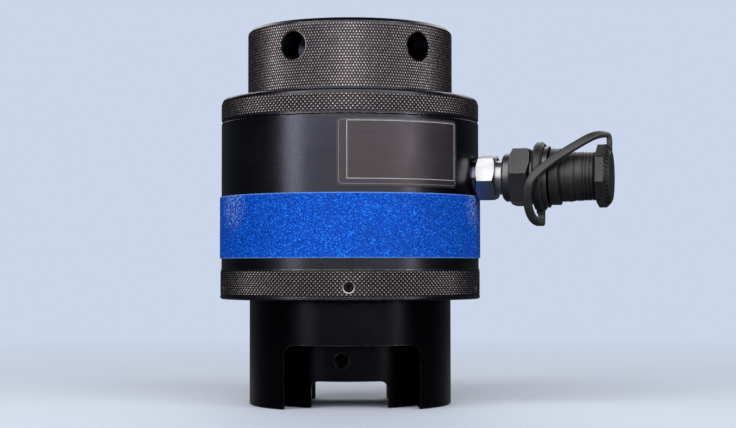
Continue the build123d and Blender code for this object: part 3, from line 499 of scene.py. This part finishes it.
for row in frame["record"]["subparts"]:
    slots = NODES[row["node"]].data.materials
    slots.clear()
    slots.append(OWN_FINISH.get(row["node"], SLOTS[row["material_slot"]]))

# Knurls: skins of pointed diamonds over the CAD's plain bands

KNURL_INSIDE = 0.3 * MM
KNURL_DEEP = (0.040, 0.036, 0.038)
KNURL_BARE = (0.60, 0.52, 0.56)
KNURL_MIDDLE = (0.05, 0.05, 0.05)
BAND_DEPTH = 0.4 * MM
COARSE_COUNT = 194
COARSE_TALL = 1.70 * MM
FINE_COUNT = 220
FINE_TALL = 2.23 * MM


def knurl(name, root, depth, low, high, count, tall, material, bevel_z=None):
    """Closed skin of a knurled band between two heights.

    count is how many diamonds stand side by side, and tall is each one's height. A 45 degree
    bevel cuts the points off from bevel_z up.
    """
    rows = 2 * round((high - low) / tall)
    columns = 2 * count
    turns = [math.pi / 2 + 2 * math.pi * column / columns for column in range(columns)]
    points = []
    for row in range(rows + 1):
        z = low + row * (high - low) / rows
        for column, turn in enumerate(turns):
            peak = (row + column) % 2 == 1 and row not in (0, rows)
            radius = root + (depth if peak else 0.0)
            if bevel_z:
                radius = min(radius, root + depth - max(0.0, z - bevel_z))
            points.append(around(radius, turn, z))
    faces = []
    for row in range(rows):
        for column in range(columns):
            a, b = row * columns + column, row * columns + (column + 1) % columns
            c, d = b + columns, a + columns
            faces += [(a, b, d), (b, c, d)] if (row + column) % 2 == 1 else [(a, b, c), (a, c, d)]
    inside = len(points)
    for z in (low, high):
        points += [around(root - KNURL_INSIDE, turn, z) for turn in turns]
    faces += ring_quads(inside, inside + columns, columns)
    faces += ring_quads(0, inside, columns)
    faces += ring_quads(rows * columns, inside + columns, columns)
    return mesh_piece(name, points, faces, material)


def knurl_steel(name, root, depth, tone=1.0):
    """Black oxide whose raised points are abraded bright."""
    steel = Surface(name, KNURL_MIDDLE, metallic=1.0, roughness=0.3)
    radius = steel.height_and_radius()[1]
    raised = steel.ramp(radius, root + 0.5 * depth, root + 0.95 * depth)
    patchy = steel.ramp(steel.noise(scale=500, detail=3), 0.35, 0.65, 0.35, 1.0)
    brightened = steel.maths("MULTIPLY", raised, patchy)
    steel.feed("Base Color", steel.mix(brightened, scaled(KNURL_DEEP, tone), scaled(KNURL_BARE, tone)))
    steel.feed("Roughness", steel.ramp(steel.noise(scale=700, detail=3), 0.3, 0.7, 0.30, 0.46))
    return steel.material


COLLAR_R = outer_radius("bridge_collar")
COLLAR_BASE, COLLAR_TOP = heights("bridge_collar")
COLLAR_ROOT = COLLAR_R - BAND_DEPTH
collar_knurl = knurl(
    "collar_knurl", COLLAR_ROOT, BAND_DEPTH, COLLAR_BASE + 1.4 * MM, COLLAR_TOP - 0.3 * MM,
    COARSE_COUNT, COARSE_TALL, knurl_steel("collar_points", COLLAR_ROOT, BAND_DEPTH),
)

COVER_DEPTH = 0.34 * MM
COVER_TONE = 1.35
COVER_ROOT = outer_radius("top_cover") + BAND_DEPTH - COVER_DEPTH
COVER_TOP = heights("top_cover")[1]
BODY_TOP = heights("cylinder_body")[1]
cover_knurl = knurl(
    "cover_knurl", COVER_ROOT, COVER_DEPTH, BODY_TOP + 0.5 * MM, COVER_TOP - 1.6 * MM,
    COARSE_COUNT, COARSE_TALL, knurl_steel("cover_points", COVER_ROOT, COVER_DEPTH, COVER_TONE),
)

HEAD_DEPTH = 0.24 * MM
HEAD_TONE = 1.45
HEAD_ROOT = outer_radius("puller_head") + BAND_DEPTH - HEAD_DEPTH
HEAD_BASE, HEAD_TOP = heights("puller_head")
HEAD_BEVEL_Z = HEAD_TOP - 1.7 * MM
head_knurl = knurl(
    "head_knurl", HEAD_ROOT, HEAD_DEPTH, HEAD_BASE + 0.4 * MM, HEAD_BEVEL_Z + HEAD_DEPTH,
    FINE_COUNT, FINE_TALL, knurl_steel("head_points", HEAD_ROOT, HEAD_DEPTH, HEAD_TONE), HEAD_BEVEL_Z,
)

for skin, body in ((collar_knurl, "load_cell"), (cover_knurl, "load_cell"), (head_knurl, "puller_bar")):
    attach(skin, body)

# Holes through the knurls: tommy bar holes in the head and screws in the collar

CUTTER_LENGTH = 20 * MM
CUTTER_SIDES = 48
HOLE_ANGLES = [72 * i for i in range(5)]
TOMMY_TURN = -31.5
TOMMY_CUT_R = 5.95 * MM
TOMMY_Z = HEAD_TOP - 10.2 * MM
SCREW_R = 2.0 * MM
SCREW_MOUTH_R = 2.35 * MM
SCREW_CUT_R = SCREW_MOUTH_R - 0.02 * MM
SCREW_Z = 47.8 * MM


def cut_round_holes(piece, radius, z, angles, reach):
    """Cuts radial round holes through a skin whose radius is about reach."""
    cutter_mesh = bpy.data.meshes.new("cutter")
    work = bmesh.new()
    for angle in angles:
        made = bmesh.ops.create_cone(
            work, cap_ends=True, segments=CUTTER_SIDES, radius1=radius, radius2=radius, depth=CUTTER_LENGTH
        )
        turn = outward(angle).to_track_quat("Z", "Y").to_matrix().to_4x4()
        bmesh.ops.transform(work, matrix=turn, verts=made["verts"])
        bmesh.ops.translate(work, vec=outward(angle) * reach + UP * z, verts=made["verts"])
    work.to_mesh(cutter_mesh)
    work.free()
    cutter = new_object("cutter", cutter_mesh)
    cut = piece.modifiers.new("holes", "BOOLEAN")
    cut.operation = "DIFFERENCE"
    cut.object = cutter
    cut.solver = "EXACT"
    done = evaluated_mesh(piece)
    piece.modifiers.remove(cut)
    piece.data = done
    bpy.data.objects.remove(cutter)


cut_round_holes(head_knurl, TOMMY_CUT_R, TOMMY_Z, [TOMMY_TURN + angle for angle in HOLE_ANGLES], HEAD_ROOT)
cut_round_holes(collar_knurl, SCREW_CUT_R, SCREW_Z, HOLE_ANGLES, COLLAR_R)

# Screw mouths: bright rings that slope in to the screws

MOUTH_SIDES = 40
MOUTH_THICKNESS = 0.3 * MM
MOUTH_INNER_SINK = 0.30 * MM
MOUTH_OUTER_SINK = 0.20 * MM


def screw_mouths(name, angles, material):
    """Rings round the screws, which lie a little under the collar's surface."""
    bottom, top = COLLAR_R - MOUTH_INNER_SINK, COLLAR_R - MOUTH_OUTER_SINK
    back = bottom - MOUTH_THICKNESS
    section = ((SCREW_R, bottom), (SCREW_MOUTH_R, top), (SCREW_MOUTH_R, back), (SCREW_R, back))
    points, faces = [], []
    for angle in angles:
        away = outward(angle)
        across = UP.cross(away)
        faces += tube_quads(MOUTH_SIDES, len(section), start=len(points), closed=True)
        for side in range(MOUTH_SIDES):
            swing = 2 * math.pi * side / MOUTH_SIDES
            spoke = across * math.cos(swing) + UP * math.sin(swing)
            points += [away * height + spoke * radius + UP * SCREW_Z for radius, height in section]
    return mesh_piece(name, points, faces, material)


mouths = screw_mouths("screw_mouths", HOLE_ANGLES, bright_steel("bared_steel", BARED_STEEL, 0.36))
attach(mouths, "load_cell")

# Grip tape

TAPE_GRAIN = 0.34 * MM
TAPE_RELIEF = 0.2 * MM
TAPE_THICKNESS = 0.68 * MM
TAPE_SEED = 7
GRAIN_SHIFT = 0.35
GRAIN_FLATNESS = 1.6


def tape_skin(name, material):
    """The tape as a gritty sheet with thin cut edges."""
    outer = outer_radius("grip_tape")
    base, top = TAPE_HEIGHTS
    columns = int(2 * math.pi * outer / TAPE_GRAIN)
    rows = int((top - base) / TAPE_GRAIN)
    draw = random.Random(TAPE_SEED)
    points = []
    for row in range(rows + 1):
        for column in range(columns):
            turn = 2 * math.pi * (column + GRAIN_SHIFT * draw.uniform(-1, 1)) / columns
            raised = draw.random() ** GRAIN_FLATNESS
            if row in (0, rows):
                raised = 0.0
            z = base + (top - base) * row / rows
            points.append(around(outer - TAPE_RELIEF * (1 - raised), turn, z))
    faces = tube_quads(rows + 1, columns)
    inside = len(points)
    for z in (base, top):
        for column in range(columns):
            points.append(around(outer - TAPE_THICKNESS, 2 * math.pi * column / columns, z))
    faces += ring_quads(0, inside, columns)
    faces += ring_quads(rows * columns, inside + columns, columns)
    return mesh_piece(name, points, faces, material)


tape = tape_skin("grip_tape_grit", SLOTS["tape"])
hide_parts("grip_tape")
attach(tape, "load_cell")

# Springs: coils of flat wire

TURN_SIDES = 36


def spring(name, node, foot, along, length, radius, turns, wire):
    """Coil that stands for a node.

    Its middle line runs from foot for a length, and wire is the wire's width and height.
    """
    across = along.orthogonal().normalized()
    other = along.cross(across)
    half_width, half_height = wire[0] / 2, wire[1] / 2
    sides = turns * TURN_SIDES
    points = []
    for side in range(sides + 1):
        swing = 2 * math.pi * turns * side / sides
        away = across * math.cos(swing) + other * math.sin(swing)
        middle = foot + along * (length * side / sides) + away * radius
        for aside, up in ((-1, -1), (1, -1), (1, 1), (-1, 1)):
            points.append(middle + away * (aside * half_width) + along * (up * half_height))
    faces = tube_quads(sides + 1, 4) + [ring_face(0, 4), ring_face(4 * sides, 4)]
    coil = mesh_piece(name, points, faces, SLOTS["spring_steel"])
    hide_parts(node)
    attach(coil, "load_cell")
    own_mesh(coil)


spring(
    "piston_coil", "return_spring", foot=UP * 101.55 * MM, along=UP,
    length=16.2 * MM, radius=37.2 * MM, turns=3, wire=(3.0 * MM, 2.2 * MM),
)
spring(
    "valve_coil", "poppet_spring", foot=port_point(74.6, 0, 0),
    along=PORT_OUT, length=19.64 * MM, radius=3.1 * MM, turns=4, wire=(0.9 * MM, 0.7 * MM),
)

# Rating plate's print: a rounded border and a ruled frame, with nothing inside

PLATE_R = 53.0 * MM
PRINT_HEIGHT = 0.03 * MM
PRINT_STEP = 1.2 * MM
PRINT_CORNER_STEPS = 6
BORDER_ANGLES, BORDER_HEIGHTS = (-4.1, 51.0), (87.0 * MM, 111.4 * MM)
BORDER_WIDTH, BORDER_CORNER = 0.2 * MM, 1.5 * MM
FRAME_ANGLES, FRAME_HEIGHTS = (-0.7, 50.3), (89.0 * MM, 111.0 * MM)
FRAME_WIDTH, FRAME_CORNER = 0.22 * MM, 0.01 * MM


def finely_divided(outline, longest):
    """Closed outline with points added so that no run is much longer than longest."""
    divided = []
    for first, second in zip(outline, outline[1:] + outline[:1]):
        run = (second[0] - first[0], second[1] - first[1])
        count = max(1, int(math.hypot(*run) / longest))
        divided += [(first[0] + run[0] * i / count, first[1] + run[1] * i / count) for i in range(count)]
    return divided


def plate_line(name, angles, levels, width, corner, material):
    """Printed line round a rounded rectangle on the plate, between two angles and two heights."""
    half_wide = math.radians(angles[1] - angles[0]) * PLATE_R / 2
    half_high = (levels[1] - levels[0]) / 2
    middle_turn, middle_z = math.radians(sum(angles) / 2), sum(levels) / 2
    outline = rounded_rectangle(half_wide, half_high, corner, PRINT_CORNER_STEPS)
    outline = finely_divided(outline, PRINT_STEP)
    points = []
    for index, (x, z) in enumerate(outline):
        before, after = outline[index - 1], outline[(index + 1) % len(outline)]
        tangent = Vector((after[0] - before[0], after[1] - before[1])).normalized()
        side = Vector((-tangent.y, tangent.x)) * width / 2
        for sign, lift in ((-1, 0.0), (-1, PRINT_HEIGHT), (1, PRINT_HEIGHT), (1, 0.0)):
            turn = middle_turn + (x + side.x * sign) / PLATE_R
            points.append(around(PLATE_R + lift, turn, middle_z + z + side.y * sign))
    return mesh_piece(name, points, tube_quads(len(outline), 4, closed=True), material)


plate_border = plate_line(
    "plate_border", BORDER_ANGLES, BORDER_HEIGHTS, BORDER_WIDTH, BORDER_CORNER,
    printed_line("border_ink", BORDER_INK),
)
plate_frame = plate_line(
    "plate_frame", FRAME_ANGLES, FRAME_HEIGHTS, FRAME_WIDTH, FRAME_CORNER,
    printed_line("frame_ink", FRAME_INK),
)
for line in (plate_border, plate_frame):
    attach(line, "load_cell")

# Dust cap: grooved sleeve round its waist, flat-sided grip and small ribs round its rim.
# Outlines are millimetres along the port's axis and from it.

CAP_SLEEVE_SIDES = 96
CAP_SLEEVE_INNER_R = 8.9
CAP_WAIST = [(87.6, 9.7), (87.9, 9.95), (91.7, 9.95), (92.0, 9.72), (100.2, 9.5), (100.3, 9.1)]
CAP_GROOVES = [89.5, 93.1, 96.3, 97.6, 99.1]
GROOVE_HALF = 0.38
GROOVE_FLOOR_HALF = 0.4 * GROOVE_HALF
GROOVE_DEPTH = 0.42
CAP_GRIP = [(100.65, 9.6), (101.6, 12.6), (104.6, 12.6), (105.1, 11.9)]
CAP_GRIP_SIDES = 8
CAP_CORNER_ANGLE = 32.5
RIM_RIBS = 40
RIM_RIB_TURN = 0.032
RIM_RIB_OUTLINE = [(104.9, 11.6), (106.35, 10.2), (106.62, 10.5), (105.25, 11.95)]


def port_ring_point(along, radius, swing):
    """Point in millimetres along and out from the port's axis, turned round it from the front."""
    return port_point(along, radius * math.cos(swing), radius * math.sin(swing))


def cap_skin(name, outline, sides, first_angle=0.0, inner=None):
    """Skin turned round the port's axis; few sides give flats. inner makes it a sleeve."""
    profile = list(outline)
    if inner:
        profile += [(outline[-1][0], inner), (outline[0][0], inner)]
    points = []
    for along, radius in profile:
        for side in range(sides):
            swing = math.radians(first_angle) + 2 * math.pi * side / sides
            points.append(port_ring_point(along, radius, swing))
    faces = tube_quads(len(profile), sides, closed=bool(inner))
    if not inner:
        faces += [ring_face(0, sides), ring_face((len(profile) - 1) * sides, sides)]
    return mesh_piece(name, points, faces, SLOTS["cap_rubber"])


def waist_radius(along):
    """Radius of the waist without its grooves."""
    for (a0, r0), (a1, r1) in zip(CAP_WAIST, CAP_WAIST[1:]):
        if a0 <= along <= a1:
            return r0 + (r1 - r0) * (along - a0) / (a1 - a0)


def grooved_waist():
    outline = list(CAP_WAIST)
    for centre in CAP_GROOVES:
        for offset, depth in (
            (-GROOVE_HALF, 0.0), (-GROOVE_FLOOR_HALF, GROOVE_DEPTH),
            (GROOVE_FLOOR_HALF, GROOVE_DEPTH), (GROOVE_HALF, 0.0),
        ):
            outline.append((centre + offset, waist_radius(centre + offset) - depth))
    return sorted(outline)


def rim_ribs(name):
    """Short raised ribs on the bevel round the cap's end."""
    points, faces = [], []
    sides = len(RIM_RIB_OUTLINE)
    for rib in range(RIM_RIBS):
        start = len(points)
        for turn in (-RIM_RIB_TURN, RIM_RIB_TURN):
            swing = 2 * math.pi * rib / RIM_RIBS + turn
            points += [port_ring_point(along, radius, swing) for along, radius in RIM_RIB_OUTLINE]
        faces += tube_quads(2, sides, start=start)
        faces += [ring_face(start, sides), ring_face(start + sides, sides)]
    return mesh_piece(name, points, faces, SLOTS["cap_rubber"])


cap_waist = cap_skin("cap_waist", grooved_waist(), CAP_SLEEVE_SIDES, inner=CAP_SLEEVE_INNER_R)
cap_grip = cap_skin("cap_grip", CAP_GRIP, CAP_GRIP_SIDES, CAP_CORNER_ANGLE)
for skin in (cap_waist, cap_grip, rim_ribs("cap_rim_ribs")):
    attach(skin, "cap")

# Tether strap: a flat rubber band on the route that the CAD tube follows

STRAP_ROUTE = [
    (79.0, 0.0, -14.6),
    (79.0, 0.0, -17.4),
    (79.2, 2.8, -19.0),
    (76.6, 7.4, -17.0),
    (75.4, 11.8, -12.4),
    (75.6, 14.8, -6.6),
    (77.2, 16.0, -1.6),
    (81.0, 14.6, 2.4),
    (87.6, 11.8, 7.6),
    (95.0, 7.4, 12.6),
    (100.4, 3.6, 16.0),
    (105.2, 0.9, 16.6),
    (106.0, 0.0, 15.2),
    (106.0, 0.0, 12.5),
]
STRAP_WIDTH = 3.3 * MM
STRAP_THICKNESS = 2.0 * MM
STRAP_CORNER = 0.25 * STRAP_THICKNESS
STRAP_CORNER_STEPS = 3
STRAP_STEPS = 24
STRAP_TOWARDS_VIEWER = Vector((0, -1, 0))

# Where the strap widens and turns, as shares of its length
STRAP_ROOT = 2.9 * MM / STRAP_WIDTH
STRAP_ROOT_END = 0.1
STRAP_WIDENING = 1.5
STRAP_LEAN = math.radians(32.0)
STRAP_LEAN_GROWTH = 4
STRAP_FIRST_TURN = (0.28, 0.14)
STRAP_LAST_TURN = (0.74, 0.18)


def route_line(name, route):
    """Points along the smooth line through a route, and its length."""
    curve = bpy.data.curves.new(name, "CURVE")
    curve.dimensions = "3D"
    curve.resolution_u = STRAP_STEPS
    spline = curve.splines.new("NURBS")
    spline.points.add(len(route) - 1)
    for target, point in zip(spline.points, route):
        target.co = (*port_point(*point), 1)
    spline.order_u = 3
    spline.use_endpoint_u = True
    holder = new_object(name, curve)
    line = evaluated_mesh(holder)
    path = [vertex.co.copy() for vertex in line.vertices]
    bpy.data.objects.remove(holder)
    bpy.data.curves.remove(curve)
    bpy.data.meshes.remove(line)
    return path, sum((b - a).length for a, b in zip(path, path[1:]))


def turned_by(share, turn):
    """How far a turn that starts at a share of the strap and takes another share has come."""
    start, extent = turn
    return clamped((share - start) / extent)


def wide_way(share, tangent):
    """Direction of the strap's width.

    By the ring it lies along the port's axis. Then it lies across the strap with its upper edge
    leaning back, and at the cap it faces the front.
    """
    across = tangent.cross(STRAP_TOWARDS_VIEWER).normalized()
    lean = STRAP_LEAN * clamped(-STRAP_LEAN_GROWTH * across.z)
    across = across * math.cos(lean) + STRAP_TOWARDS_VIEWER * math.sin(lean)
    wide = PORT_OUT.lerp(across, turned_by(share, STRAP_FIRST_TURN))
    return wide.lerp(PORT_FRONT, turned_by(share, STRAP_LAST_TURN))


def strap_band(name, path, material):
    """Flat band with rounded edges along a path, narrower at its root."""
    section = rounded_rectangle(STRAP_WIDTH / 2, STRAP_THICKNESS / 2, STRAP_CORNER, STRAP_CORNER_STEPS)
    last = len(path) - 1
    points = []
    for index, point in enumerate(path):
        share = index / last
        tangent = (path[min(index + 1, last)] - path[max(index - 1, 0)]).normalized()
        wide = wide_way(share, tangent)
        wide = (wide - tangent * wide.dot(tangent)).normalized()
        thin = tangent.cross(wide)
        slim = min(1.0, STRAP_ROOT + max(0.0, share - STRAP_ROOT_END) * STRAP_WIDENING)
        points += [point + wide * u * slim + thin * v for u, v in section]
    sides = len(section)
    faces = tube_quads(len(path), sides) + [ring_face(0, sides), ring_face(last * sides, sides)]
    return mesh_piece(name, points, faces, material, smooth=True)


strap_path, strap_length = route_line("strap_line", STRAP_ROUTE)
strap = strap_band("strap_band", strap_path, rubber("strap_rubber", GREY_RUBBER))
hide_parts("cap_tether")
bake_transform(strap)

# Stage: pale floor and background, soft lamps and the camera

FLOOR_RADIUS = 1.0
FLOOR_SIDES = 96
FLOOR_FADE = (0.62, 0.13)
FLOOR_MIDDLE = (0.62, 0.65, 0.70)
FLOOR_DEEP = (0.56, 0.61, 0.71)
FLOOR_PALE = (0.60, 0.65, 0.75)
FLOOR_UNSEEN = (0.05, 0.055, 0.065)
WORLD_COLOUR = (0.60, 0.67, 0.82)
WORLD_LIGHT = 0.08
LIGHT_TARGET = Vector((0, 0, 80 * MM))


def plain_floor():
    """Disc that is pale to the camera, throws little light up and fades into the background."""
    floor_mesh = bpy.data.meshes.new("floor")
    work = bmesh.new()
    bmesh.ops.create_circle(work, cap_ends=True, segments=FLOOR_SIDES, radius=FLOOR_RADIUS)
    work.to_mesh(floor_mesh)
    work.free()
    floor = new_object("floor", floor_mesh)
    paint = Surface("floor_paint", FLOOR_MIDDLE, roughness=0.6)
    pale = paint.mix(paint.ramp(paint.noise(scale=3, detail=3), 0.3, 0.7), FLOOR_DEEP, FLOOR_PALE)
    seen = paint.node("ShaderNodeLightPath").outputs["Is Camera Ray"]
    paint.feed("Base Color", paint.mix(seen, FLOOR_UNSEEN, pale))
    paint.feed("Alpha", paint.ramp(paint.height_and_radius()[1], *FLOOR_FADE))
    floor.data.materials.append(paint.material)


def plain_world():
    """Background that is pale to the camera and gives the object little light."""
    world = bpy.data.worlds.new("studio")
    bpy.context.scene.world = world
    world.use_nodes = True
    tree = world.node_tree
    background = tree.nodes["Background"]
    background.inputs["Color"].default_value = (*WORLD_COLOUR, 1)
    ray = tree.nodes.new("ShaderNodeLightPath")
    seen = tree.nodes.new("ShaderNodeMath")
    seen.operation = "MAXIMUM"
    tree.links.new(ray.outputs["Is Camera Ray"], seen.inputs[0])
    tree.links.new(ray.outputs["Is Transmission Ray"], seen.inputs[1])
    level = tree.nodes.new("ShaderNodeMapRange")
    level.inputs["To Min"].default_value = WORLD_LIGHT
    level.inputs["To Max"].default_value = 1.0
    tree.links.new(seen.outputs[0], level.inputs["Value"])
    tree.links.new(level.outputs["Result"], background.inputs["Strength"])


def softbox(name, angle, elevation, distance, size, radiance):
    """Area lamp at an angle round the tool and an elevation, aimed at the tool's middle."""
    lamp = bpy.data.lights.new(name, "AREA")
    lamp.shape = "RECTANGLE"
    lamp.size, lamp.size_y = size
    lamp.energy = radiance * math.pi * size[0] * size[1]
    lift = math.radians(elevation)
    away = outward(angle) * math.cos(lift) + UP * math.sin(lift)
    holder = new_object(name, lamp)
    holder.location = LIGHT_TARGET + away * distance
    holder.rotation_euler = (-away).to_track_quat("-Z", "Y").to_euler()


def camera():
    data = bpy.data.cameras.new("camera")
    data.lens = CAMERA_LENS
    data.sensor_width = SENSOR_WIDTH
    data.clip_start, data.clip_end = CAMERA_NEAR, CAMERA_FAR
    holder = new_object("camera", data)
    holder.location = CAMERA_PLACE
    holder.rotation_euler = (math.pi / 2 + CAMERA_PITCH, CAMERA_ROLL, 0.0)
    bpy.context.scene.camera = holder


plain_floor()
plain_world()
softbox("left_softbox", -48.5, 17.0, distance=1.1, size=(0.30, 0.70), radiance=6.3)
softbox("right_softbox", 54.0, 15.0, distance=1.1, size=(0.20, 0.75), radiance=5.0)
softbox("front_softbox", 6.0, 19.0, distance=1.5, size=(2.9, 0.95), radiance=2.15)
softbox("back_softbox", 178.0, 38.0, distance=1.3, size=(2.0, 0.7), radiance=2.0)
softbox("top_softbox", -4.0, 52.0, distance=1.2, size=(2.6, 0.8), radiance=2.4)
camera()
bpy.context.scene.view_settings.view_transform = "Standard"
